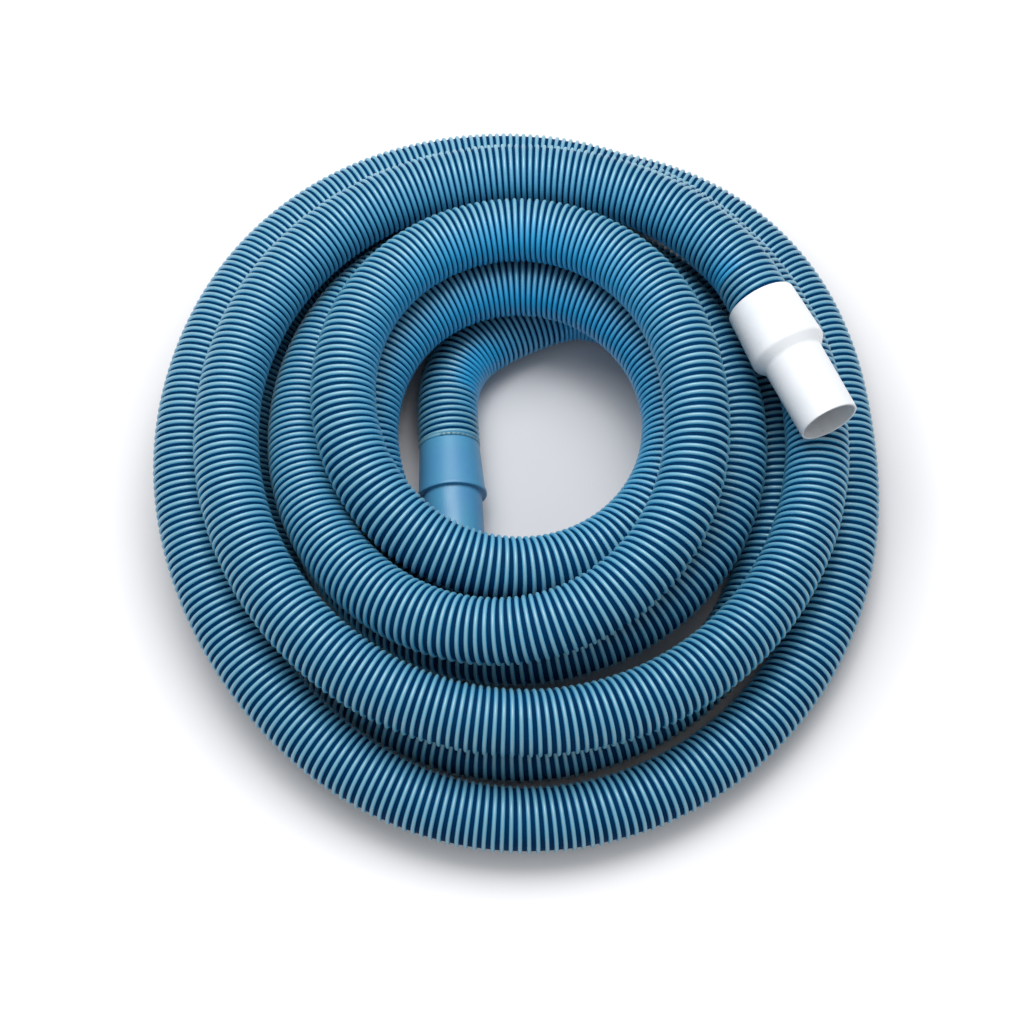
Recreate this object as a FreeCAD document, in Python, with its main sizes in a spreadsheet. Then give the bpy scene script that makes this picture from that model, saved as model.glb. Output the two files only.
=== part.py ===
"""Pool vacuum hose, 1-1/2 in bore, coiled by hand on the floor with a cuff on each end.

Frame: millimetres, +Z up, the floor at Z = 0, the coil's back towards +Y.
"""
import FreeCAD, Part
import math
import os
import Sketcher

from FreeCAD import Placement, Rotation, Vector

# Driving sizes, in millimetres and degrees; those that start with = follow from the others
SIZES = {
    "hose_bore": 38.0,
    "hose_wall": 1.8,
    "rib_rise": 1.7,
    "hose_wall_outside": "=hose_bore + 2 * hose_wall",
    "hose_outside": "=hose_wall_outside + 2 * rib_rise",
    "cuff_bore": 38.6,
    "rib_crest_length": 3.0,
    "rib_foot_length": 4.6,
    "ribs_per_turn": 20,
    "ribs_per_straight_end": 2,
    "ribs_on_tail": 3,
    "straight_end": 45.0,
    "tail_turn_in": 8.0,
    "coil_middle_x": -6.8,
    "coil_middle_y": 6.3,
    "swivel_rim_x": 166.3,
    "swivel_rim_y": 83.8,
    "swivel_rim_z": 104.0,
    "swivel_bearing": -66.0,
    "swivel_length": 102.0,
    "swivel_rim_wall": 2.0,
    "swivel_shoulder_wall": 1.7,
    "swivel_shoulder_at": 42.0,
    "swivel_neck_at": 49.0,
    "swivel_neck_wall": 2.2,
    "swivel_mouth_wall": 1.7,
    "swivel_lip_length": 16.0,
    "collar_sleeve_start": 18.0,
    "collar_sleeve_wall": 1.3,
    "collar_sleeve_end": 34.0,
    "collar_flange_rise": 0.9,
    "collar_flange_length": 3.0,
    "collar_end_wall": 2.0,
    "glue_gap": 0.3,
    "running_gap": 0.3,
    "lip_gap": 0.5,
    "end_play": 0.6,
    "fixed_face_x": -54.7,
    "fixed_face_y": 16.7,
    "fixed_bearing": -86.2,
    "fixed_length": 84.0,
    "fixed_rim_rise": 2.5,
    "fixed_flare_rise": 2.7,
    "fixed_ring_rise": 1.0,
    "fixed_ring_at": 43.5,
    "fixed_ring_length": 3.0,
    "fixed_neck_wall": 2.0,
    "spigot_length": 30.0,
    "spigot_gap": 0.2,
    "spigot_wall": 2.0,
    "spigot_depth": 46.0,
    "edge_bevel": 0.8,
    "mouth_bevel": 0.6,
    "floor_width": 1000.0,
    "floor_depth": 50.0,
}

# Reach of each turn from the coil's middle, and the height of its centre line above the floor,
# both at its back, left, front and right. The hose runs anticlockwise seen from above.
TURNS = [
    {"reach": (187, 198, 221, 216), "height": (101, 95, 76, 59)},
    {"reach": (226, 231, 266, 245), "height": (68, 62, 26, 23)},
    {"reach": (253, 196, 219, 186), "height": (23, 22, 23, 22)},
    {"reach": (182, 150, 165, 156), "height": (24, 25, 54, 59)},
    {"reach": (159, 150, 167, 121), "height": (65, 72, 102, 122)},
    {"reach": (134, 117, 118, 111), "height": (111, 112, 88, 73)},
    {"reach": (113, 104, 120, 124), "height": (70, 67, 40, 23)},
    {"reach": (114,), "height": (23,)},
]
QUARTER = math.pi / 2
UP = Vector(0, 0, 1)
MARKS_PER_SPAN = 4
NODES = ("hose", "swivel_collar", "swivel_cuff", "fixed_cuff")

doc = FreeCAD.newDocument("VacuumHose")


def make_sheet():
    """Puts every driving size in the spreadsheet under its own alias."""
    sheet = doc.addObject("Spreadsheet::Sheet", "Sizes")
    for row, (name, value) in enumerate(SIZES.items(), start=1):
        sheet.set(f"A{row}", name)
        sheet.set(f"B{row}", str(value))
        sheet.setAlias(f"B{row}", name)
    doc.recompute()
    return sheet


def bearing_vector(bearing):
    """Horizontal unit vector at an angle from +X, anticlockwise seen from above."""
    angle = math.radians(bearing)
    return Vector(math.cos(angle), math.sin(angle), 0)


# The hose's route: straight out of the swivel cuff, a coil whose reach and height are smooth functions
# of the angle turned about its middle, and a bend inwards to the straight end at the fixed cuff

def hose_ends(sheet):
    """The hose's first and last points, and the directions it runs in at them."""
    swivel = bearing_vector(sheet.swivel_bearing)
    start = Vector(sheet.swivel_rim_x, sheet.swivel_rim_y, sheet.swivel_rim_z)
    start += swivel * sheet.collar_sleeve_end
    fixed = bearing_vector(sheet.fixed_bearing)
    rim = sheet.hose_bore / 2 - sheet.spigot_gap + sheet.fixed_rim_rise
    height = rim + sheet.fixed_flare_rise + sheet.fixed_ring_rise
    face = Vector(sheet.fixed_face_x, sheet.fixed_face_y, height)
    return (start, -swivel), (face, fixed)


def coil_places(sheet, middle, point, direction):
    """Angle, (reach, height) and slopes of every measured place, from where the straight end meets
    the coil; between the ends a slope is that of the parabola through three places."""
    spoke = Vector(point.x - middle.x, point.y - middle.y, 0)
    swell = spoke.Length * direction.dot(spoke) / direction.dot(UP.cross(spoke))
    reach = [spoke.Length] + [value for turn in TURNS for value in turn["reach"]]
    height = [point.z] + [value for turn in TURNS for value in turn["height"]]
    angles = [math.atan2(spoke.y, spoke.x)] + [QUARTER * index for index in range(1, len(reach))]
    values = list(zip(reach, height))
    places = [(angles[0], values[0], (swell, 0))]
    for index in range(1, len(angles) - 1):
        before, after = angles[index] - angles[index - 1], angles[index + 1] - angles[index]
        slopes = []
        for past, here, ahead in zip(*values[index - 1:index + 2]):
            rise, next_rise = (here - past) / before, (ahead - here) / after
            slopes.append((rise * after + next_rise * before) / (before + after))
        places.append((angles[index], values[index], slopes))
    turn_in = math.tan(math.radians(sheet.tail_turn_in))
    places.append((angles[-1], values[-1], (-reach[-1] * turn_in, 0)))
    return places


def cubic(share, width, start, start_slope, end, end_slope):
    """Value and slope, at a share of a span's width, of the cubic with given ends and end slopes."""
    rise = end - start
    bend = width * start_slope - rise
    back = rise - width * end_slope
    rest = 1 - share
    value = start + rise * share + share * rest * (bend * rest + back * share)
    slope = rise + (rest - share) * (bend * rest + back * share) + share * rest * (back - bend)
    return value, slope / width


def coil_point(middle, begin, end, share):
    """Point and direction of the hose at a share of the span between two measured places."""
    width = end[0] - begin[0]
    angle = begin[0] + width * share
    reach, swell = cubic(share, width, begin[1][0], begin[2][0], end[1][0], end[2][0])
    height, climb = cubic(share, width, begin[1][1], begin[2][1], end[1][1], end[2][1])
    outward = Vector(math.cos(angle), math.sin(angle), 0)
    direction = outward * swell + UP.cross(outward) * reach + UP * climb
    return middle + outward * reach + UP * height, direction.normalize()


def tail_point(leave, arrive, share):
    """Point and direction at a share of the bend between two directions, a cubic close to an arc."""
    (start, out), (end, back) = leave, arrive
    turn = out.getAngle(back)
    arm = (end - start).Length * 2 / 3 * math.tan(turn / 4) / math.sin(turn / 2)
    second, third, rest = start + out * arm, end - back * arm, 1 - share
    point = (start * rest ** 3 + second * (3 * rest ** 2 * share)
             + third * (3 * rest * share ** 2) + end * share ** 3)
    direction = ((second - start) * rest ** 2 + (third - second) * (2 * rest * share)
                 + (end - third) * share ** 2)
    return point, direction.normalize()


def hose_route(sheet):
    """The hose's two plain ends and every rib's place and direction between them."""
    middle = Vector(sheet.coil_middle_x, sheet.coil_middle_y, 0)
    first, last = hose_ends(sheet)
    straight, count = sheet.straight_end, int(sheet.ribs_per_straight_end)
    ribs = [(first[0] + first[1] * (straight * step / count), first[1]) for step in range(1, count + 1)]
    places = coil_places(sheet, middle, *ribs[-1])
    for begin, end in zip(places, places[1:]):
        steps = round((end[0] - begin[0]) * sheet.ribs_per_turn / (2 * math.pi))
        ribs += [coil_point(middle, begin, end, step / steps) for step in range(1, steps + 1)]
    leave, arrive = ribs[-1], (last[0] - last[1] * straight, last[1])
    steps = int(sheet.ribs_on_tail)
    ribs += [tail_point(leave, arrive, step / steps) for step in range(1, steps + 1)]
    ribs += [(arrive[0] + last[1] * (straight * step / count), last[1]) for step in range(1, count)]
    return first, ribs, last


def ring(point, direction, diameter):
    """Circle square to the hose, its X axis always level."""
    circle = Part.Circle(Vector(), UP, diameter / 2).toShape()
    level = UP.cross(direction)
    circle.Placement = Placement(point, Rotation(level, Vector(), direction, "ZXY"))
    return Part.Wire([circle])


def make_hose(sheet):
    """Ribbed wall and smooth bore as two ruled lofts closed by the end faces, flat on the floor."""
    first, ribs, last = hose_route(sheet)
    half_foot, half_crest = sheet.rib_foot_length / 2, sheet.rib_crest_length / 2
    profile = [(-half_foot, sheet.hose_wall_outside), (-half_crest, sheet.hose_outside),
               (half_crest, sheet.hose_outside), (half_foot, sheet.hose_wall_outside)]
    wall = [ring(*first, sheet.hose_wall_outside)]
    bore = [ring(*first, sheet.hose_bore)]
    for point, direction in ribs:
        wall += [ring(point + direction * shift, direction, width) for shift, width in profile]
        bore.append(ring(point, direction, sheet.hose_bore))
    wall.append(ring(*last, sheet.hose_wall_outside))
    bore.append(ring(*last, sheet.hose_bore))
    faces = Part.makeLoft(wall, False, True).Faces + Part.makeLoft(bore, False, True).Faces
    for end in (0, -1):
        faces.append(Part.Face([wall[end], bore[end]], "Part::FaceMakerBullseye"))
    shell = Part.makeShell(faces)
    shell.sewShape()
    print_measures(first, ribs, last, sheet)

    tube = doc.addObject("Part::Feature", "HoseTube")
    tube.Shape = Part.makeSolid(shell)
    tube.Placement = Placement()
    floor = doc.addObject("Part::Box", "Floor")
    for side, size in (("Length", "floor_width"), ("Width", "floor_width"), ("Height", "floor_depth")):
        floor.setExpression(side, f"Sizes.{size}")
    corner = Vector(-sheet.floor_width / 2, -sheet.floor_width / 2, -sheet.floor_depth)
    floor.Placement = Placement(corner, Rotation())
    hose = doc.addObject("Part::Cut", "Hose")
    hose.Base, hose.Tool = tube, floor
    hose.Label = "hose"


def print_measures(first, ribs, last, sheet):
    """Length and least bend of the hose, and the least gap between two of its turns, on points."""
    places = [first] + ribs + [last]
    length = sum(one[0].distanceToPoint(other[0]) for one, other in zip(places, places[1:]))
    bend = min(one[0].distanceToPoint(other[0]) / max(one[1].getAngle(other[1]), 1e-6)
               for one, other in zip(places, places[1:]))
    marks = []
    for index, (here, there) in enumerate(zip(places, places[1:])):
        for step in range(MARKS_PER_SPAN):
            width = sheet.hose_outside if step == 0 and index else sheet.hose_wall_outside
            share = step / MARKS_PER_SPAN
            marks.append((here[0] + (there[0] - here[0]) * share, width / 2))
    half_turn = int(sheet.ribs_per_turn) * MARKS_PER_SPAN // 2
    least = min(one[0].distanceToPoint(other[0]) - one[1] - other[1]
                for index, one in enumerate(marks) for other in marks[index + half_turn:])
    print(f"hose: {length / 1000:.2f} m, {len(ribs)} ribs, least bend {bend:.0f} mm, "
          f"least gap between turns {least:.2f} mm")


# Cuffs: each is the section of its wall, turned about its own X axis

def make_turned(name, corners, bevels):
    """Body turned from an outline of (along, out) expressions, then bevelled in sets of edges."""
    body = doc.addObject("PartDesign::Body", name)
    sketch = body.newObject("Sketcher::SketchObject", name + "Section")
    plane = next(item for item in body.Origin.OriginFeatures if item.Role == "XY_Plane")
    sketch.AttachmentSupport = (plane, "")
    sketch.MapMode = "FlatFace"
    places = [Vector(value(sketch, along), value(sketch, out), 0) for along, out in corners]
    for index, place in enumerate(places):
        sketch.addGeometry(Part.LineSegment(place, places[(index + 1) % len(places)]), False)
    for index, (along, out) in enumerate(corners):
        following = (index + 1) % len(corners)
        sketch.addConstraint(Sketcher.Constraint("Coincident", index, 2, following, 1))
        if along == "0":
            sketch.addConstraint(Sketcher.Constraint("PointOnObject", index, 1, -2))
        else:
            pin(sketch, "DistanceX", index, places[index].x, f"along{index}", along)
        pin(sketch, "DistanceY", index, places[index].y, f"out{index}", out)
    turned = body.newObject("PartDesign::Revolution", name + "Turned")
    turned.Profile = sketch
    turned.ReferenceAxis = (sketch, ["H_Axis"])
    turned.Angle = 360
    doc.recompute()
    base = turned
    for number, (size, spots) in enumerate(bevels):
        bevel = body.newObject("PartDesign::Chamfer", f"{name}Bevel{number}")
        bevel.Base = (base, [edge_name(base, sketch, along, out) for along, out in spots])
        bevel.setExpression("Size", size)
        doc.recompute()
        base = bevel
    return body


def value(item, expression):
    """Number that an expression on the sheet gives now."""
    return float(item.evalExpression(expression))


def pin(sketch, kind, index, number, name, expression):
    """Sets a line's first point at a distance from the origin, driven by the sheet."""
    place = sketch.addConstraint(Sketcher.Constraint(kind, -1, 1, index, 1, number))
    sketch.renameConstraint(place, name)
    sketch.setExpression(f"Constraints.{name}", expression)


def edge_name(feature, sketch, along, out):
    """Name of the round edge at a distance along the axis with a given radius."""
    near, radius = value(sketch, along), value(sketch, out)
    for number, edge in enumerate(feature.Shape.Edges, start=1):
        curve = edge.Curve
        if isinstance(curve, Part.Circle) and abs(curve.Radius - radius) < 0.01:
            if abs(curve.Center.x - near) < 0.01:
                return f"Edge{number}"
    raise ValueError(f"no edge at {along}, {out}")


def make_swivel_collar():
    """White sleeve bonded on the hose's end, with the flange that the cuff turns on."""
    inside = "Sizes.hose_outside / 2 + Sizes.glue_gap"
    sleeve = f"{inside} + Sizes.collar_sleeve_wall"
    flange = f"{sleeve} + Sizes.collar_flange_rise"
    seat = "Sizes.collar_sleeve_end"
    back = f"{seat} + Sizes.collar_end_wall"
    flange_start = f"{back} - Sizes.collar_flange_length"
    bore = "Sizes.hose_bore / 2"
    corners = [
        ("Sizes.collar_sleeve_start", inside), ("Sizes.collar_sleeve_start", sleeve),
        (flange_start, sleeve), (flange_start, flange), (back, flange),
        (back, bore), (seat, bore), (seat, inside),
    ]
    body = make_turned("SwivelCollar", corners, [])
    body.Label = "swivel_collar"
    return body


def make_swivel_cuff():
    """White outer cuff: lip round the hose, groove over the flange, shoulder and straight mouth."""
    lip = "Sizes.hose_outside / 2 + Sizes.lip_gap"
    sleeve = "Sizes.hose_outside / 2 + Sizes.glue_gap + Sizes.collar_sleeve_wall"
    cavity = f"{sleeve} + Sizes.running_gap"
    groove = f"{sleeve} + Sizes.collar_flange_rise + Sizes.running_gap"
    back = "Sizes.collar_sleeve_end + Sizes.collar_end_wall"
    groove_start = f"{back} - Sizes.collar_flange_length - Sizes.end_play"
    groove_end = f"{back} + Sizes.end_play"
    bore = "Sizes.cuff_bore / 2"
    rim = f"{lip} + Sizes.swivel_rim_wall"
    shoulder = f"{groove} + Sizes.swivel_shoulder_wall"
    neck = f"{bore} + Sizes.swivel_neck_wall"
    mouth = f"{bore} + Sizes.swivel_mouth_wall"
    corners = [
        ("0", lip), ("0", rim), ("Sizes.swivel_shoulder_at", shoulder),
        ("Sizes.swivel_neck_at", neck), ("Sizes.swivel_length", mouth),
        ("Sizes.swivel_length", bore), (groove_end, bore), (groove_end, groove),
        (groove_start, groove), (groove_start, cavity),
        ("Sizes.swivel_lip_length", cavity), ("Sizes.swivel_lip_length", lip),
    ]
    bevels = [
        ("Sizes.edge_bevel", [("0", rim), ("Sizes.swivel_shoulder_at", shoulder),
                              ("Sizes.swivel_neck_at", neck)]),
        ("Sizes.mouth_bevel", [("Sizes.swivel_length", mouth), ("Sizes.swivel_length", bore)]),
    ]
    body = make_turned("SwivelCuff", corners, bevels)
    body.Label = "swivel_cuff"
    return body


def make_fixed_cuff():
    """Blue cuff: spigot in the hose's bore, flared body up to a thin ring, straight mouth."""
    bore = "Sizes.cuff_bore / 2"
    spigot = "Sizes.hose_bore / 2 - Sizes.spigot_gap"
    way = f"{spigot} - Sizes.spigot_wall"
    rim = f"{spigot} + Sizes.fixed_rim_rise"
    flare = f"{rim} + Sizes.fixed_flare_rise"
    outer = f"{flare} + Sizes.fixed_ring_rise"
    neck = f"{bore} + Sizes.fixed_neck_wall"
    face = "Sizes.spigot_length"
    ring_start = f"{face} + Sizes.fixed_ring_at"
    ring_end = f"{ring_start} + Sizes.fixed_ring_length"
    mouth = f"{face} + Sizes.fixed_length"
    seat = f"{face} + Sizes.spigot_depth"
    corners = [
        ("0", way), ("0", spigot), (face, spigot), (face, rim), (ring_start, flare),
        (ring_start, outer), (ring_end, outer), (ring_end, neck), (mouth, neck),
        (mouth, bore), (seat, bore), (seat, way),
    ]
    bevels = [
        ("Sizes.edge_bevel", [(ring_start, outer), (ring_end, outer), (ring_end, neck)]),
        ("Sizes.mouth_bevel", [(mouth, neck), (mouth, bore)]),
    ]
    body = make_turned("FixedCuff", corners, bevels)
    body.Label = "fixed_cuff"
    return body


def place_cuffs(sheet, collar, swivel, fixed):
    """Lays the cuffs' own X axes along the hose's two ends."""
    rim = Vector(sheet.swivel_rim_x, sheet.swivel_rim_y, sheet.swivel_rim_z)
    turn = Rotation(UP, sheet.swivel_bearing)
    collar.Placement = Placement(rim, turn)
    swivel.Placement = Placement(rim, turn)
    (_, _), (face, direction) = hose_ends(sheet)
    start = face - direction * sheet.spigot_length
    fixed.Placement = Placement(start, Rotation(UP, sheet.fixed_bearing))


def main():
    sheet = make_sheet()
    make_hose(sheet)
    collar, swivel, fixed = make_swivel_collar(), make_swivel_cuff(), make_fixed_cuff()
    place_cuffs(sheet, collar, swivel, fixed)
    doc.recompute()
    failed = [item.Label for item in doc.Objects if {"Invalid", "Error"} & set(item.State)]
    if failed:
        raise RuntimeError("failed objects: " + ", ".join(failed))
    parts = {item.Label: item for item in doc.Objects if item.Label in NODES}
    for node in NODES:
        shape = parts[node].Shape
        if shape.isNull() or not shape.isValid() or len(shape.Solids) != 1:
            raise RuntimeError(node + " is not one valid solid")
    os.makedirs("parts", exist_ok=True)
    for node in NODES:
        shape = parts[node].Shape
        shape.exportStep(f"parts/{node}.step")
        print(f"{node}: {shape.Volume / 1000:.1f} cm3, {len(shape.Faces)} faces, {shape.BoundBox}")


main()
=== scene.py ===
"""Coiled pool vacuum hose with a white swivel cuff and a blue fixed cuff, in a plain pale studio.

Lengths are metres unless a docstring says millimetres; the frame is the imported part's own.
"""

import logging
import math
from dataclasses import dataclass
from enum import Enum

import bpy
import numpy as np
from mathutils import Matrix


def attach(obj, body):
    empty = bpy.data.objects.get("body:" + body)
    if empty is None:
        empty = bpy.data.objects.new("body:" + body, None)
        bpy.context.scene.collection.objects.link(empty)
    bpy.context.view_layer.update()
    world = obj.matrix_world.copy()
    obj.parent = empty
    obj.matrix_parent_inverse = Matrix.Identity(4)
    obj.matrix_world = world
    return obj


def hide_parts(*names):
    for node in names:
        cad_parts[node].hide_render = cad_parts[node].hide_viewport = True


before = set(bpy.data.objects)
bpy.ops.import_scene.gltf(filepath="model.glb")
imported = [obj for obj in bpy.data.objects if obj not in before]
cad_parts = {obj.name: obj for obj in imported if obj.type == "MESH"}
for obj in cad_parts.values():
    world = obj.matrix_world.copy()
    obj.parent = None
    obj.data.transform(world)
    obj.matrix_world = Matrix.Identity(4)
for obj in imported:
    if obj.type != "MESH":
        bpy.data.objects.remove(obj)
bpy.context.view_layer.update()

LOG = logging.getLogger("vacuum_hose")
MM = 0.001
UP = np.array([0.0, 0.0, 1.0])
WHITE_LIGHT = (1.0, 1.0, 1.0, 1.0)
# A noise pattern runs from 0 to 1 but seldom leaves this range.
NOISE_RANGE = (0.3, 0.7)
# Points of a line that lie nearer each other than this are one point.
SAME_POINT = 1e-7


class Body(Enum):
    """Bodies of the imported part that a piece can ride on."""

    HOSE = "hose"
    SWIVEL_CUFF = "swivel_cuff"


class Slot(Enum):
    """Material slots of the record that a piece can take its finish from."""

    HOSE = "hose"
    WHITE_PLASTIC = "white_plastic"
    BLUE_PLASTIC = "blue_plastic"


class Run(Enum):
    """Ways for a stretched value to run between its ends, with Blender's words for them."""

    STRAIGHT = "LINEAR"
    SMOOTH = "SMOOTHSTEP"


def srgb(red: float, green: float, blue: float) -> tuple[float, float, float, float]:
    """Turn a colour written in 0 to 255 into the linear colour that a shader takes.

    Args:
        red: red part, 0 to 255.
        green: green part, 0 to 255.
        blue: blue part, 0 to 255.

    Returns:
        Linear red, green, blue and an alpha of 1.
    """
    parts = np.array([red, green, blue]) / 255.0
    linear = np.where(parts <= 0.04045, parts / 12.92, ((parts + 0.055) / 1.055) ** 2.4)
    return (float(linear[0]), float(linear[1]), float(linear[2]), 1.0)


def unit(vectors: np.ndarray) -> np.ndarray:
    """Scale each row of an array of vectors to length 1."""
    return vectors / np.linalg.norm(vectors, axis=-1, keepdims=True)


# Finishes


class Shader:
    """A node-based material being built: one principled surface and the nodes that feed it."""

    def __init__(self, name: str) -> None:
        """Start an empty material with a principled surface.

        Args:
            name: the material's name.
        """
        self.material = bpy.data.materials.new(name)
        self.material.use_nodes = True
        self.tree = self.material.node_tree
        self.tree.nodes.clear()
        self.surface = self.tree.nodes.new("ShaderNodeBsdfPrincipled")
        output = self.tree.nodes.new("ShaderNodeOutputMaterial")
        self.tree.links.new(self.surface.outputs["BSDF"], output.inputs["Surface"])

    def node(self, kind: str, **settings: object) -> bpy.types.Node:
        """Add a node and set its properties or, where it has none of that name, its sockets.

        Args:
            kind: the node's type, in Blender's words.
            settings: a value for each property or socket, by its name.

        Returns:
            The new node.
        """
        made = self.tree.nodes.new(kind)
        for name, value in settings.items():
            if hasattr(made, name):
                setattr(made, name, value)
            else:
                made.inputs[name].default_value = value
        return made

    def link(self, source: bpy.types.NodeSocket, target: bpy.types.NodeSocket) -> None:
        """Join one socket to another."""
        self.tree.links.new(source, target)

    def noise(self, scale: float, detail: float = 4.0) -> bpy.types.NodeSocket:
        """Add a noise pattern on the object's own coordinates, scale in cycles a metre.

        Args:
            scale: size of the pattern.
            detail: how many finer layers it has.

        Returns:
            The socket with the pattern's value.
        """
        place = self.node("ShaderNodeTexCoord")
        pattern = self.node("ShaderNodeTexNoise", Scale=scale, Detail=detail)
        self.link(place.outputs["Object"], pattern.inputs["Vector"])
        return pattern.outputs["Fac"]

    def spread(
        self,
        source: bpy.types.NodeSocket,
        low: float,
        high: float,
        begin: float = NOISE_RANGE[0],
        end: float = NOISE_RANGE[1],
        run: Run = Run.STRAIGHT,
    ) -> bpy.types.NodeSocket:
        """Stretch a value's run from begin to end so that it goes from low to high, held at both ends.

        Args:
            source: the value; begin and end suit a noise pattern unless they are given.
            low: what begin becomes.
            high: what end becomes.
            begin: where the run starts.
            end: where the run ends.
            run: how the value goes from one end to the other.

        Returns:
            The socket with the stretched value.
        """
        ranged = self.node("ShaderNodeMapRange", interpolation_type=run.value)
        for socket, value in zip(("From Min", "From Max", "To Min", "To Max"), (begin, end, low, high)):
            ranged.inputs[socket].default_value = value
        self.link(source, ranged.inputs["Value"])
        return ranged.outputs["Result"]

    def blend(
        self,
        share: bpy.types.NodeSocket,
        first: tuple[float, ...] | bpy.types.NodeSocket,
        second: tuple[float, ...],
    ) -> bpy.types.NodeSocket:
        """Mix two colours by a share that runs from 0 to 1.

        Args:
            share: how much of the second colour there is.
            first: a colour, or the socket of another node that gives one.
            second: a colour.

        Returns:
            The socket with the mixed colour.
        """
        mix = self.node("ShaderNodeMix", data_type="RGBA")
        self.link(share, mix.inputs["Factor"])
        if isinstance(first, bpy.types.NodeSocket):
            self.link(first, mix.inputs[6])
        else:
            mix.inputs[6].default_value = first
        mix.inputs[7].default_value = second
        return mix.outputs[2]

    def relief(self, source: bpy.types.NodeSocket, depth: float) -> None:
        """Raise and sink the surface by a pattern.

        Args:
            source: the pattern.
            depth: the rise from its lowest to its highest, in metres.
        """
        bump = self.node("ShaderNodeBump", Strength=1.0, Distance=depth)
        self.link(source, bump.inputs["Height"])
        self.link(bump.outputs["Normal"], self.surface.inputs["Normal"])


@dataclass(frozen=True)
class MouldedPlastic:
    """Smooth moulded plastic: slight mottling of colour and gloss, and a faint flow-marked relief."""

    name: str
    color: tuple[float, float, float, float]
    shade: tuple[float, float, float, float]
    roughness: float
    gloss_change: float = 0.06
    mottle_scale: float = 45.0
    grain_scale: float = 700.0
    grain_detail: float = 2.0
    grain_depth: float = 0.00003
    sheen: float = 0.5

    def material(self) -> bpy.types.Material:
        """Build the plastic's material.

        Returns:
            The plastic's material.
        """
        shader = Shader(self.name)
        shader.surface.inputs["Specular IOR Level"].default_value = self.sheen
        mottle = shader.noise(self.mottle_scale)
        share = shader.spread(mottle, 0.0, 1.0)
        shader.link(shader.blend(share, self.color, self.shade), shader.surface.inputs["Base Color"])
        rough = shader.spread(mottle, self.roughness - self.gloss_change, self.roughness + self.gloss_change)
        shader.link(rough, shader.surface.inputs["Roughness"])
        shader.relief(shader.noise(self.grain_scale, self.grain_detail), self.grain_depth)
        return shader.material


@dataclass(frozen=True)
class BeadFinish:
    """Light blue welded bead with painted light: a painted highlight whitens its crest, and painted shade of
    deeper blue lies at its foot and where a bend closes its turns up.
    """

    # Painted light: crest is the bead's own light blue whitened by a painted highlight; foot and closed are
    # painted shade, a deep saturated blue tinted as by light bounced between the turns.
    crest: tuple[float, float, float, float]
    foot: tuple[float, float, float, float]
    closed: tuple[float, float, float, float]
    smoothest: float = 0.37
    roughest: float = 0.49
    foot_shade_until: float = 0.3
    crest_highlight_from: float = 0.95
    mottle_scale: float = 30.0
    grain_scale: float = 900.0
    grain_detail: float = 2.0
    grain_depth: float = 0.00002
    sheen: float = 1.0

    def material(self) -> bpy.types.Material:
        """Build the bead's material.

        The attribute rise is 0 at the bead's foot and 1 on its crest, and mixes the foot's painted shade
        into the crest's colour with its painted highlight.
        The second attribute is the share of a further painted shade: 0 on the outside of a bend and up to 1
        on its inside, most at the coil's back.

        Returns:
            The bead's material.
        """
        shader = Shader("light_blue_bead")
        shader.surface.inputs["Specular IOR Level"].default_value = self.sheen
        rise = shader.node("ShaderNodeAttribute", attribute_name="rise").outputs["Fac"]
        # Painted shade at the foot, fading up to the crest and its painted highlight.
        height = shader.spread(rise, 0.0, 1.0, self.foot_shade_until, self.crest_highlight_from, Run.SMOOTH)
        shade_and_highlight_by_height = shader.blend(height, self.foot, self.crest)
        # Painted shade mixed in where a bend closes the turns up.
        painted_shade_share = shader.node("ShaderNodeAttribute", attribute_name="painted_shade_share")
        with_painted_bend_shade = shader.blend(painted_shade_share.outputs["Fac"], shade_and_highlight_by_height, self.closed)
        shader.link(with_painted_bend_shade, shader.surface.inputs["Base Color"])
        mottle = shader.noise(self.mottle_scale)
        rough = shader.spread(mottle, self.smoothest, self.roughest)
        shader.link(rough, shader.surface.inputs["Roughness"])
        shader.relief(shader.noise(self.grain_scale, self.grain_detail), self.grain_depth)
        return shader.material


@dataclass(frozen=True)
class FloorFinish:
    """Pale studio floor with a painted glow: seen white further off round the object, and darker near it,
    where it keeps the object's soft shadow.

    The lift is a painted glow, light added for the camera and for reflections only, though the floor is no
    lamp. It grows with the distance from the coil's middle, from near to far, so that the floor inside the
    coil shows its shade and the floor round the coil is left darker, a painted shade.
    """

    color: tuple[float, float, float, float]
    lift: float
    near: float = 0.25
    far: float = 0.36
    roughness: float = 0.9

    def material(self) -> bpy.types.Material:
        """Build the floor's material.

        Returns:
            The floor's material.
        """
        shader = Shader("studio_floor")
        shader.surface.inputs["Roughness"].default_value = self.roughness
        shader.surface.inputs["Base Color"].default_value = self.color
        paths = shader.node("ShaderNodeLightPath")
        seen = shader.node("ShaderNodeMath", operation="MAXIMUM")
        shader.link(paths.outputs["Is Camera Ray"], seen.inputs[0])
        shader.link(paths.outputs["Is Glossy Ray"], seen.inputs[1])
        place = shader.node("ShaderNodeTexCoord")
        distance = shader.node("ShaderNodeVectorMath", operation="LENGTH")
        shader.link(place.outputs["Object"], distance.inputs[0])
        # Painted glow, growing away from the coil, so the floor near it stays darker as painted shade.
        painted_glow = shader.spread(distance.outputs["Value"], 0.0, self.lift, self.near, self.far, Run.SMOOTH)
        amount = shader.node("ShaderNodeMath", operation="MULTIPLY")
        shader.link(seen.outputs["Value"], amount.inputs[0])
        shader.link(painted_glow, amount.inputs[1])
        shader.surface.inputs["Emission Color"].default_value = WHITE_LIGHT
        shader.link(amount.outputs["Value"], shader.surface.inputs["Emission Strength"])
        return shader.material


# Meshes from grids of points


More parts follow.
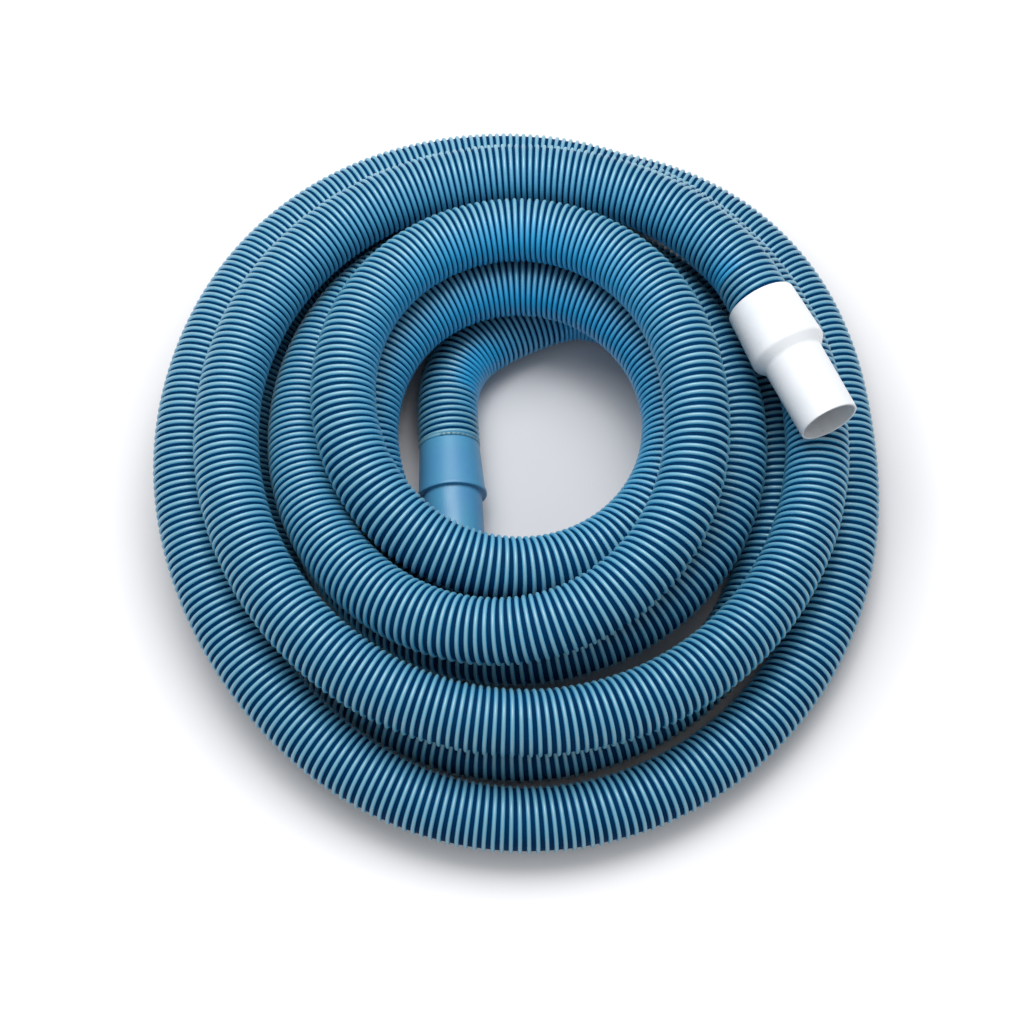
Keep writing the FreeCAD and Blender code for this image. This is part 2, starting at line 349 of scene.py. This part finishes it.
def grid_faces(rows: int, columns: int, close_rows: bool, close_columns: bool) -> np.ndarray:
    """List the four corners of every cell of a grid of points, numbered row by row.

    Args:
        rows: number of rows of points.
        columns: number of points in a row.
        close_rows: whether the last row joins the first.
        close_columns: whether the last column joins the first.

    Returns:
        An array with one row of four point numbers for each cell.
    """
    row = np.arange(rows if close_rows else rows - 1)[:, None]
    column = np.arange(columns if close_columns else columns - 1)[None, :]
    next_row, next_column = (row + 1) % rows, (column + 1) % columns
    corners = [
        row * columns + column,
        next_row * columns + column,
        next_row * columns + next_column,
        row * columns + next_column,
    ]
    return np.stack([np.broadcast_to(one, (row.size, column.size)) for one in corners], -1).reshape(-1, 4)


def make_piece(
    name: str,
    points: np.ndarray,
    faces: list[list[int]],
    material: bpy.types.Material,
    body: Body,
) -> bpy.types.Object:
    """Make a smooth-shaded piece from points and faces, and let it ride on a body.

    Args:
        name: the piece's name.
        points: one row of x, y, z for each point.
        faces: the point numbers of each face.
        material: what the piece is made of.
        body: the body it rides on.

    Returns:
        The new object, at the origin.
    """
    mesh = bpy.data.meshes.new(name)
    mesh.from_pydata(points.tolist(), [], faces)
    mesh.polygons.foreach_set("use_smooth", np.ones(len(mesh.polygons), dtype=bool))
    mesh.materials.append(material)
    mesh.update()
    piece = bpy.data.objects.new(name, mesh)
    bpy.context.scene.collection.objects.link(piece)
    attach(piece, body.value)
    LOG.info("%s: %d points, %d faces", name, len(mesh.vertices), len(mesh.polygons))
    return piece


# The hose's route


@dataclass(frozen=True)
class CuffPlace:
    """Where a cuff meets the hose: a point on its axis, and the axis's bearing away from the hose."""

    point: tuple[float, float, float]
    bearing: float

    def axis(self) -> np.ndarray:
        """Level unit vector along the cuff, away from the hose."""
        angle = math.radians(self.bearing)
        return np.array([math.cos(angle), math.sin(angle), 0.0])

    def along(self, distance: float) -> np.ndarray:
        """Point on the cuff's axis at a distance in millimetres from its place."""
        return np.array(self.point) + self.axis() * distance * MM


# The swivel cuff's place is the joint's, on its rim, and the hose leaves the collar's sleeve
# COLLAR_START millimetres in from there. The fixed cuff's place is where the hose's solid ends,
# and the scene's hose ends FIXED_RIM millimetres nearer the cuff's mouth.
SWIVEL_RIM = CuffPlace(point=(0.1663, 0.0838, 0.104), bearing=-66.0)
FIXED_FACE = CuffPlace(point=(-0.0547, 0.0167, 0.025), bearing=-86.2)
FIXED_RIM = 7.5
COLLAR_START = 18.0


@dataclass(frozen=True)
class Turn:
    """Reach from the coil's middle and height above the floor, in millimetres, quarter by quarter.

    The swell is what the reach gains halfway through the quarter that ends at its place.
    """

    reach: tuple[float, ...]
    height: tuple[float, ...]
    swell: tuple[float, ...] = (0, 0, 0, 0)


@dataclass(frozen=True)
class HoseRoute:
    """The line that the hose lies along, from the swivel cuff's seat round the coil to the fixed cuff.

    The seat's depth, the length of the straight end and the tail's depths are in millimetres, and
    the tail turns in by degrees.
    """

    middle: tuple[float, float] = (-0.0068, 0.0063)
    seat_depth: float = 34.0
    straight: float = 45.0
    tail_turn_in: float = 8.0
    tail_end_depths: tuple[float, ...] = (24.0, 8.0, -FIXED_RIM)
    points_per_turn: int = 24
    points_moved: int = 6
    spline_order: int = 3
    samples_per_point: int = 14
    turns: tuple[Turn, ...] = (
        Turn(reach=(187, 198, 221, 213), height=(101, 95, 76, 62)),
        Turn(reach=(220, 231, 273, 239), height=(68, 62, 26, 23), swell=(0, 4, -7, 1)),
        Turn(reach=(240, 196, 224, 186), height=(23, 22, 23, 22), swell=(15, 0, -8, 2)),
        Turn(reach=(182, 150, 165, 156), height=(24, 25, 54, 59)),
        Turn(reach=(159, 150, 167, 121), height=(65, 72, 102, 122)),
        Turn(reach=(134, 117, 118, 111), height=(111, 112, 88, 73)),
        Turn(reach=(113, 104, 120, 124), height=(70, 67, 40, 23)),
        Turn(reach=(114,), height=(23,)),
    )

    def places(self) -> tuple[np.ndarray, np.ndarray, np.ndarray]:
        """Find the angle, the reach and height, and their slopes at every measured place.

        The first place is where the straight end at the swivel cuff meets the coil. Between the
        ends a slope is that of the parabola through three places in a row.

        Returns:
            Angles, an array of reach and height, and an array of their slopes.
        """
        start = SWIVEL_RIM.along(self.seat_depth - self.straight)
        spoke = start[:2] - np.array(self.middle)
        onward = np.array([-spoke[1], spoke[0]])
        run = -SWIVEL_RIM.axis()[:2]
        first_reach = float(np.hypot(*spoke))
        reach = [first_reach] + [value * MM for turn in self.turns for value in turn.reach]
        height = [float(start[2])] + [value * MM for turn in self.turns for value in turn.height]
        angles = np.arange(len(reach)) * math.pi / 2
        angles[0] = math.atan2(spoke[1], spoke[0])
        values = np.stack([reach, height], axis=1)
        steps = np.diff(angles)[:, None]
        rises = np.diff(values, axis=0) / steps
        slopes = np.zeros_like(values)
        slopes[1:-1] = (rises[:-1] * steps[1:] + rises[1:] * steps[:-1]) / (steps[:-1] + steps[1:])
        slopes[0, 0] = first_reach * (run @ spoke) / (run @ onward)
        slopes[-1, 0] = -reach[-1] * math.tan(math.radians(self.tail_turn_in))
        return angles, values, slopes

    def coil_points(self) -> np.ndarray:
        """Work out the coil's control points, evenly spaced in angle.

        Reach and height are cubics of the angle between measured places:
        v = v0 + d x + x (1 - x) (b (1 - x) + c x), with x from 0 to 1, d = v1 - v0,
        b = w s0 - d and c = d - w s1 for the span's width w and the slopes s0 and s1.
        The reach gains (4 x (1 - x))^2 times the swell. A smooth line runs inside its control
        points, so their reach is larger by 1 / cos(half a step).

        Returns:
            One row of x, y, z for each control point.
        """
        angles, values, slopes = self.places()
        step = 2 * math.pi / self.points_per_turn
        turned = np.arange(angles[0] + step / 2, angles[-1], step)
        span = np.searchsorted(angles, turned) - 1
        width = np.diff(angles)[span][:, None]
        share = (turned - angles[span])[:, None] / width
        rise = values[span + 1] - values[span]
        bend = width * slopes[span] - rise
        back = rise - width * slopes[span + 1]
        both = values[span] + rise * share + share * (1 - share) * (bend * (1 - share) + back * share)
        swell = np.array([value * MM for turn in self.turns for value in turn.swell])[span]
        hump = (4 * share[:, 0] * (1 - share[:, 0])) ** 2
        reach = (both[:, 0] + hump * swell) / math.cos(step / 2)
        flat = np.stack([np.cos(turned) * reach, np.sin(turned) * reach], axis=1)
        return np.column_stack([flat + np.array(self.middle), both[:, 1]])

    def tail(self) -> np.ndarray:
        """Give the bend from the coil inwards to the straight end at the fixed cuff.

        Returns:
            One row of x, y, z for each control point, as listed.
        """
        return np.array([
            [0.1194, 0.0162, 0.0226],
            [0.1137, 0.0513, 0.0225],
            [0.0984, 0.0886, 0.0225],
            [0.0740, 0.1185, 0.0225],
            [0.0409, 0.1284, 0.0225],
            [0.0074, 0.1177, 0.0226],
            [-0.0260, 0.1002, 0.0228],
            [-0.0447, 0.0840, 0.0233],
            [-0.0547, 0.0630, 0.0242],
        ])

    def control_points(self) -> np.ndarray:
        """Put the straight ends, the coil and the tail together, from the swivel cuff on.

        Returns:
            One row of x, y, z for each control point. The tail's take the place of the coil's last.
        """
        depths = [self.seat_depth, self.seat_depth - self.straight / 2, self.seat_depth - self.straight]
        head = [SWIVEL_RIM.along(depth) for depth in depths]
        end = [FIXED_FACE.along(-depth) for depth in self.tail_end_depths]
        return np.concatenate([head, self.coil_points()[:-self.points_moved], self.tail(), end])

    def line(self) -> np.ndarray:
        """Read the points of the smooth NURBS line that has the route as its control points.

        Returns:
            One row of x, y, z for each point along the line.
        """
        controls = self.control_points()
        curve = bpy.data.curves.new("hose_line", "CURVE")
        curve.dimensions = "3D"
        spline = curve.splines.new("NURBS")
        spline.points.add(len(controls) - 1)
        spline.points.foreach_set("co", np.column_stack([controls, np.ones(len(controls))]).ravel())
        spline.order_u = self.spline_order
        spline.use_endpoint_u = True
        curve.resolution_u = self.samples_per_point
        carrier = bpy.data.objects.new("hose_line", curve)
        mesh = bpy.data.meshes.new_from_object(carrier)
        points = np.empty(len(mesh.vertices) * 3)
        mesh.vertices.foreach_get("co", points)
        bpy.data.objects.remove(carrier)
        bpy.data.curves.remove(curve)
        bpy.data.meshes.remove(mesh)
        return points.reshape(-1, 3)


class Path:
    """A line with a length scale, and a steady frame across it at any distance along."""

    def __init__(self, points: np.ndarray) -> None:
        """Measure the line.

        Args:
            points: one row of x, y, z for each point along the line.
        """
        gaps = np.linalg.norm(np.diff(points, axis=0), axis=1)
        keep = np.concatenate([[True], gaps > SAME_POINT])
        self.points = points[keep]
        gaps = np.linalg.norm(np.diff(self.points, axis=0), axis=1)
        self.distance = np.concatenate([[0.0], np.cumsum(gaps)])
        self.length = float(self.distance[-1])
        self.direction = unit(np.gradient(self.points, self.distance, axis=0))
        self.bend = np.gradient(self.direction, self.distance, axis=0)

    def at(self, values: np.ndarray, distance: np.ndarray) -> np.ndarray:
        """Read an array that has a row for each of the line's points at any distances along it."""
        where = np.clip(distance, 0.0, self.length)
        return np.stack([np.interp(where, self.distance, values[:, k]) for k in range(3)], -1)

    def spokes(self, distance: np.ndarray, angle: np.ndarray) -> np.ndarray:
        """Unit vectors square to the line: cos(angle) level + sin(angle) upright.

        Level is the horizontal direction across the line, and upright is square to both.

        Args:
            distance: how far along the line, for each vector.
            angle: the angle about the line from level, for each vector.

        Returns:
            An array of the same shape with x, y, z last.
        """
        along = unit(self.at(self.direction, distance))
        level = unit(np.cross(UP, along))
        upright = np.cross(along, level)
        return np.cos(angle)[..., None] * level + np.sin(angle)[..., None] * upright

    def stretch(self, distance: np.ndarray, angle: np.ndarray, radius: float) -> np.ndarray:
        """Length beside the line for each unit of its own: 1 - radius (bend . spoke).

        It is over 1 on the outside of a bend and under 1 on the inside.
        """
        spoke = self.spokes(distance, angle)
        return 1.0 - radius * np.sum(self.at(self.bend, distance) * spoke, axis=-1)

    def around(self, distance: np.ndarray, angle: np.ndarray, radius: np.ndarray) -> np.ndarray:
        """Points about the line: centre + radius times the spoke at that angle.

        Args:
            distance: how far along the line, for each point.
            angle: the angle about the line from level, for each point.
            radius: the distance from the line, for each point.

        Returns:
            An array of the same shape with x, y, z last.
        """
        return self.at(self.points, distance) + radius[..., None] * self.spokes(distance, angle)


# Pieces


@dataclass
class RibbedHose:
    """The wound hose: a thin dark wall, and a rounded light bead that runs round it in one helix."""

    path: Path
    outside_radius: float = 0.0225
    wall_radius: float = 0.0206
    bore_radius: float = 0.0190
    bead_pitch: float = 0.0051
    front_stretch: float = 0.08
    right_stretch: float = 0.05
    bead_width: float = 0.0031
    bead_foot_radius: float = 0.0203
    wall_step: float = 0.009
    sides: int = 36
    bead_sides: int = 40
    bead_corners: int = 7
    strands: int = 5
    run_out: float = 0.1
    least_height: float = 0.02
    # Painted shade inside bends: full where the stretch falls this far below 1, then its strength and its
    # gain towards the coil's back.
    full_shade_at: float = 0.16
    painted_shade_strength: float = 0.6
    painted_shade_gain_at_back: float = 0.4

    def build(self, bead: bpy.types.Material, wall: bpy.types.Material) -> list[bpy.types.Object]:
        """Build the wall and the bead.

        Args:
            bead: the bead's material.
            wall: the wall's material.

        Returns:
            The wall, then the strands of the bead.
        """
        tube = self.wall(wall)
        turned = self.turned_so_far()
        total = turned[-1] + 1.0
        ends = np.linspace(0.0, total, self.strands + 1)
        strands = [
            self.strand(number, begin, end, turned, bead)
            for number, (begin, end) in enumerate(zip(ends[:-1], ends[1:]), start=1)
        ]
        LOG.info("bead: %.0f turns", total)
        return [tube, *strands]

    def outward(self) -> np.ndarray:
        """Level unit vectors from the coil's middle to each point of the line."""
        return unit(self.path.points[:, :2] - self.path.points[:, :2].mean(axis=0))

    def turned_so_far(self) -> np.ndarray:
        """Turns of the bead up to each point of the line, by the sum of length / pitch.

        The turns lie closer at the coil's back and left: pitch = mean (1 + f front + r right), where
        front and right are the parts of the direction from the coil's middle to the point.

        Returns:
            The turns wound at each of the line's points.
        """
        outward = self.outward()
        change = self.right_stretch * outward[:, 0] - self.front_stretch * outward[:, 1]
        turns = np.diff(self.path.distance) / (self.bead_pitch * (1 + change[1:]))
        return np.concatenate([[0.0], np.cumsum(turns)])

    def wall(self, material: bpy.types.Material) -> bpy.types.Object:
        """Make the wall: a tube out along its outside and back along the bore, closed at both end faces.

        A point is centre + radius (cos(angle) level + sin(angle) upright), held above the floor.

        Args:
            material: the wall's material.

        Returns:
            The wall, which stands for the hose's node.
        """
        rows = int(self.path.length / self.wall_step)
        out = np.linspace(0.0, self.path.length, rows)
        distance = np.concatenate([out, out[::-1]])
        radius = np.concatenate([np.full(rows, self.wall_radius), np.full(rows, self.bore_radius)])
        angle = np.linspace(0.0, 2 * math.pi, self.sides, endpoint=False)
        shape = (2 * rows, self.sides)
        points = self.path.around(
            np.broadcast_to(distance[:, None], shape),
            np.broadcast_to(angle[None, :], shape),
            np.broadcast_to(radius[:, None], shape),
        ).reshape(-1, 3)
        points[:, 2] = np.maximum(points[:, 2], 0.0)
        faces = grid_faces(2 * rows, self.sides, close_rows=True, close_columns=True)[:, ::-1]
        tube = make_piece("hose_wall", points, faces.tolist(), material, Body.HOSE)
        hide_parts("hose")
        return tube

    def strand(
        self, number: int, begin: float, end: float, so_far: np.ndarray, material: bpy.types.Material
    ) -> bpy.types.Object:
        """Make one stretch of the bead, between two numbers of turns.

        At t turns and profile angle a, the bead lies width/2 cos(a) before its middle, at angle
        2 pi t about the line and at radius foot + (outside - foot) sin(a) from it. The bead's own
        width stays the same round a bend, so the groove beside it opens outside and closes inside.
        The last turn lies level against the fixed cuff. The attribute rise is sin(a). The second attribute
        is the share of painted shade, a deeper blue painted where the turns close up: (1 - stretch) divided
        by the gap at which the shade is full, from 0 to 1, times the shade's strength plus its gain at the
        back times y, where y is the backward part of the direction from the coil's middle.

        Args:
            number: the strand's number, for its name.
            begin: turns wound where it starts.
            end: turns wound where it ends.
            so_far: the turns wound at each of the line's points.
            material: the bead's material.

        Returns:
            The strand.
        """
        count = int(round((end - begin) * self.bead_sides)) + 1
        turned = np.linspace(begin, end, count)[:, None]
        profile = np.linspace(0.0, math.pi, self.bead_corners)[None, :]
        from_end = np.minimum(turned, so_far[-1] + 1.0 - turned)
        fade = np.clip(from_end / self.run_out, self.least_height, 1.0)
        height = (self.outside_radius - self.bead_foot_radius) * fade
        passed = self.bead_width / 2 + np.interp(turned, so_far, self.path.distance)
        middle = np.minimum(passed, self.path.length - self.bead_width / 2)
        shape = (count, self.bead_corners)
        stretch = self.path.stretch(middle, turned * 2 * math.pi, self.wall_radius)
        distance = middle - np.cos(profile) * self.bead_width / 2 / stretch
        radius = self.bead_foot_radius + height * np.sin(profile)
        angle = np.broadcast_to(turned * 2 * math.pi, shape)
        points = self.path.around(distance, angle, radius).reshape(-1, 3)
        points[:, 2] = np.maximum(points[:, 2], 0.0)
        faces = grid_faces(count, self.bead_corners, close_rows=False, close_columns=True).tolist()
        faces.append(list(range(self.bead_corners)))
        faces.append(list(range((count - 1) * self.bead_corners, count * self.bead_corners))[::-1])
        piece = make_piece(f"bead_{number}", points, faces, material, Body.HOSE)
        # Painted shade where a bend closes the turns up, stronger at the coil's back.
        back = np.interp(middle, self.path.distance, self.outward()[:, 1])
        share = self.painted_shade_strength + self.painted_shade_gain_at_back * back
        painted_shade_share = np.clip((1.0 - stretch) / self.full_shade_at, 0.0, 1.0) * share
        for attribute, values in (("rise", np.sin(profile)), ("painted_shade_share", painted_shade_share)):
            at_points = np.broadcast_to(values, shape).ravel()
            piece.data.attributes.new(attribute, "FLOAT", "POINT").data.foreach_set("value", at_points)
        return piece


@dataclass(frozen=True)
class Corner:
    """A corner of a cuff's wall section, in millimetres: along the axis, out from it, and its rounding."""

    along: float
    out: float
    rounding: float = 0.0


def rounded_outline(corners: list[Corner], steps: int = 6) -> np.ndarray:
    """Round each corner of a closed outline with a quadratic curve tangent to both of its sides.

    A point is A (1 - x)^2 + 2 C x (1 - x) + B x^2, where C is the corner and A and B lie on its
    two sides at the rounding's distance from it.

    Args:
        corners: the outline's corners in order.
        steps: points along each rounding, less one.

    Returns:
        One row of along, out for each point, in millimetres.
    """
    spots = np.array([[corner.along, corner.out] for corner in corners])
    rounding = np.array([corner.rounding for corner in corners])[:, None]
    before = spots + unit(np.roll(spots, 1, axis=0) - spots) * rounding
    after = spots + unit(np.roll(spots, -1, axis=0) - spots) * rounding
    share = np.linspace(0.0, 1.0, steps + 1)[None, :, None]
    curve = (
        before[:, None] * (1 - share) ** 2
        + spots[:, None] * 2 * share * (1 - share)
        + after[:, None] * share ** 2
    )
    points = [curve[k] if rounding[k, 0] > 0 else spots[k:k + 1] for k in range(len(corners))]
    return np.concatenate(points)


@dataclass
class Cuff:
    """A cuff moulded about one axis: its wall section is turned about the axis at its place.

    Its kinds, below, hold their sizes in millimetres, along the axis from the place and out from it.
    """

    name: str
    node: str
    place: CuffPlace
    body: Body
    slot: Slot
    mouth_bore: float = 19.3
    sides: int = 128

    def corners(self) -> list[Corner]:
        """Corners of the wall section, round its outline; each kind of cuff has its own."""
        raise NotImplementedError

    def build(self, material: bpy.types.Material) -> bpy.types.Object:
        """Turn the section: place + along axis + out (cos(angle) level + sin(angle) up).

        Args:
            material: what the cuff is made of.

        Returns:
            The cuff, which stands for its node.
        """
        outline = rounded_outline(self.corners()) * MM
        angle = np.linspace(0.0, 2 * math.pi, self.sides, endpoint=False)[None, :, None]
        axis = self.place.axis()
        level = np.cross(UP, axis)
        along, out = outline[:, 0, None, None], outline[:, 1, None, None]
        spoke = np.cos(angle) * level + np.sin(angle) * UP
        points = np.array(self.place.point) + along * axis + out * spoke
        faces = grid_faces(len(outline), self.sides, close_rows=True, close_columns=True)
        piece = make_piece(self.name, points.reshape(-1, 3), faces.tolist(), material, self.body)
        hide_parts(self.node)
        return piece


@dataclass
class SwivelCuff(Cuff):
    """White outer cuff: lip round the hose, groove for the flange, shoulder and straight mouth."""

    name: str = "swivel_cuff_shell"
    node: str = "swivel_cuff"
    place: CuffPlace = SWIVEL_RIM
    body: Body = Body.SWIVEL_CUFF
    slot: Slot = Slot.WHITE_PLASTIC
    lip_radius: float = 23.0
    lip_length: float = 16.0
    rim_radius: float = 25.0
    sleeve_radius: float = 24.4
    groove_radius: float = 25.3
    groove_from: float = 32.4
    groove_until: float = 36.6
    shoulder_radius: float = 27.0
    shoulder_from: float = 42.0
    shoulder_until: float = 49.0
    mouth_root_radius: float = 21.5
    mouth_tip_radius: float = 21.0
    length: float = 102.0

    def corners(self) -> list[Corner]:
        """Go from the rim along the outside to the mouth, and back along the bore and the seats.

        Returns:
            The section's corners.
        """
        return [
            Corner(0.0, self.lip_radius, 0.4),
            Corner(0.0, self.rim_radius, 0.9),
            Corner(self.shoulder_from, self.shoulder_radius, 1.6),
            Corner(self.shoulder_until, self.mouth_root_radius, 1.6),
            Corner(self.length, self.mouth_tip_radius, 0.8),
            Corner(self.length, self.mouth_bore, 0.6),
            Corner(self.groove_until, self.mouth_bore),
            Corner(self.groove_until, self.groove_radius),
            Corner(self.groove_from, self.groove_radius),
            Corner(self.groove_from, self.sleeve_radius),
            Corner(self.lip_length, self.sleeve_radius),
            Corner(self.lip_length, self.lip_radius),
        ]


@dataclass
class FixedCuff(Cuff):
    """Blue cuff: spigot in the hose's bore, flared body up to a thin ring, and straight mouth."""

    name: str = "fixed_cuff_shell"
    node: str = "fixed_cuff"
    place: CuffPlace = FIXED_FACE
    body: Body = Body.HOSE
    slot: Slot = Slot.BLUE_PLASTIC
    spigot_length: float = 30.0
    spigot_radius: float = 18.8
    spigot_bore: float = 16.8
    bore_step: float = 16.0
    rim_radius: float = 21.8
    flare_radius: float = 24.0
    ring_radius: float = 25.0
    ring_from: float = 43.5
    ring_until: float = 46.5
    mouth_radius: float = 21.3
    length: float = 84.0

    def corners(self) -> list[Corner]:
        """Go from the spigot along the outside to the mouth, and back along the two bores.

        Returns:
            The section's corners.
        """
        return [
            Corner(-self.spigot_length, self.spigot_bore),
            Corner(-self.spigot_length, self.spigot_radius),
            Corner(FIXED_RIM, self.spigot_radius),
            Corner(FIXED_RIM, self.rim_radius, 0.5),
            Corner(self.ring_from, self.flare_radius, 0.3),
            Corner(self.ring_from, self.ring_radius, 0.6),
            Corner(self.ring_until, self.ring_radius, 0.9),
            Corner(self.ring_until, self.mouth_radius, 0.8),
            Corner(self.length, self.mouth_radius, 0.8),
            Corner(self.length, self.mouth_bore, 0.6),
            Corner(self.bore_step, self.mouth_bore),
            Corner(self.bore_step, self.spigot_bore),
        ]


def dress_collar(plastic: bpy.types.Material) -> None:
    """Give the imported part's own collar its plastic, and leave the rest of it as it is.

    Args:
        plastic: the cuff's white plastic.
    """
    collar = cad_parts["swivel_collar"]
    collar.data.materials.clear()
    collar.data.materials.append(plastic)


# Studio


@dataclass(frozen=True)
class SoftLight:
    """A large square lamp that looks at a point of the object."""

    name: str
    place: tuple[float, float, float]
    target: tuple[float, float, float]
    width: float
    power: float

    def hang(self) -> None:
        """Put the lamp in the scene."""
        lamp = bpy.data.lights.new(self.name, "AREA")
        lamp.size = self.width
        lamp.energy = self.power
        holder = bpy.data.objects.new(self.name, lamp)
        holder.location = self.place
        holder.rotation_euler = look(self.place, self.target)
        bpy.context.scene.collection.objects.link(holder)


def look(place: tuple[float, ...], target: tuple[float, ...]) -> tuple[float, float, float]:
    """Turn an object so that its -Z axis points from its place at a target, with the image level.

    Args:
        place: where the object is.
        target: what it looks at.

    Returns:
        The object's rotation about x, y and z.
    """
    x, y, z = np.array(target) - np.array(place)
    return (math.atan2(math.hypot(x, y), -z), 0.0, math.atan2(-x, y))


@dataclass(frozen=True)
class Studio:
    """Pale floor, soft lamps, and a camera high in front of the coil."""

    camera_target: tuple[float, float, float] = (-0.0088, -0.0437, 0.030)
    camera_distance: float = 1.3
    camera_elevation: float = 66.0
    lens: float = 64.2
    sensor_width: float = 36.0
    view_depth: float = 20.0
    floor_width: float = 8.0
    sky_strength: float = 0.58
    lamps: tuple[SoftLight, ...] = (
        SoftLight("key", (0.1, 0.6, 1.9), (0.0, 0.0, 0.0), 1.1, 24.0),
        SoftLight("fill", (-0.6, 0.45, 1.9), (0.0, 0.0, 0.0), 1.0, 16.0),
    )

    def build(self, floor: bpy.types.Material) -> None:
        """Lay the floor and set up the lamps, the sky and the camera.

        Args:
            floor: the floor's material.
        """
        half = self.floor_width / 2
        corners = [(-half, -half, 0), (half, -half, 0), (half, half, 0), (-half, half, 0)]
        mesh = bpy.data.meshes.new("floor")
        mesh.from_pydata(corners, [], [(0, 1, 2, 3)])
        mesh.materials.append(floor)
        ground = bpy.data.objects.new("floor", mesh)
        bpy.context.scene.collection.objects.link(ground)
        for lamp in self.lamps:
            lamp.hang()
        world = bpy.data.worlds.new("sky")
        world.use_nodes = True
        background = world.node_tree.nodes["Background"]
        background.inputs["Color"].default_value = WHITE_LIGHT
        background.inputs["Strength"].default_value = self.sky_strength
        bpy.context.scene.world = world
        bpy.context.scene.view_settings.view_transform = "Standard"
        self.aim()

    def aim(self) -> None:
        """Put the camera at its elevation in front of the coil, looking at the target."""
        lift = math.radians(self.camera_elevation)
        away = np.array([0.0, -math.cos(lift), math.sin(lift)]) * self.camera_distance
        place = tuple(np.array(self.camera_target) + away)
        camera = bpy.data.cameras.new("camera")
        camera.lens = self.lens
        camera.sensor_width = self.sensor_width
        camera.clip_end = self.view_depth
        holder = bpy.data.objects.new("camera", camera)
        holder.location = place
        holder.rotation_euler = look(place, self.camera_target)
        bpy.context.scene.collection.objects.link(holder)
        bpy.context.scene.camera = holder


def main() -> None:
    """Build every piece in order and report it, then lay the hose's line down and light the studio."""
    logging.basicConfig(level=logging.INFO, format="%(name)s %(message)s")
    white = MouldedPlastic("white_cuff_plastic", srgb(227, 230, 234), srgb(221, 225, 230), 0.3).material()
    blue = MouldedPlastic("blue_cuff_plastic", srgb(74, 142, 176), srgb(72, 132, 176), 0.42).material()
    wall = MouldedPlastic("dark_blue_wall", srgb(1, 48, 86), srgb(1, 40, 75), 0.7, sheen=0.03).material()
    # Bead colours: crest with a painted highlight, then painted shade for the foot and for the inside of
    # bends.
    bead = BeadFinish(srgb(106, 159, 178), srgb(14, 154, 208), srgb(20, 154, 208)).material()
    line = Path(HoseRoute().line())
    LOG.info("hose line: %.3f m", line.length)
    hose, *strands = RibbedHose(line).build(bead, wall)
    SwivelCuff().build(white)
    blue_cuff = FixedCuff().build(blue)
    dress_collar(white)
    tuple(SWIVEL_RIM.along(COLLAR_START))
    # The floor's lift is a painted glow that grows away from the coil.
    Studio().build(FloorFinish(color=srgb(203, 203, 206), lift=0.42).material())


if __name__ == "__main__":
    main()
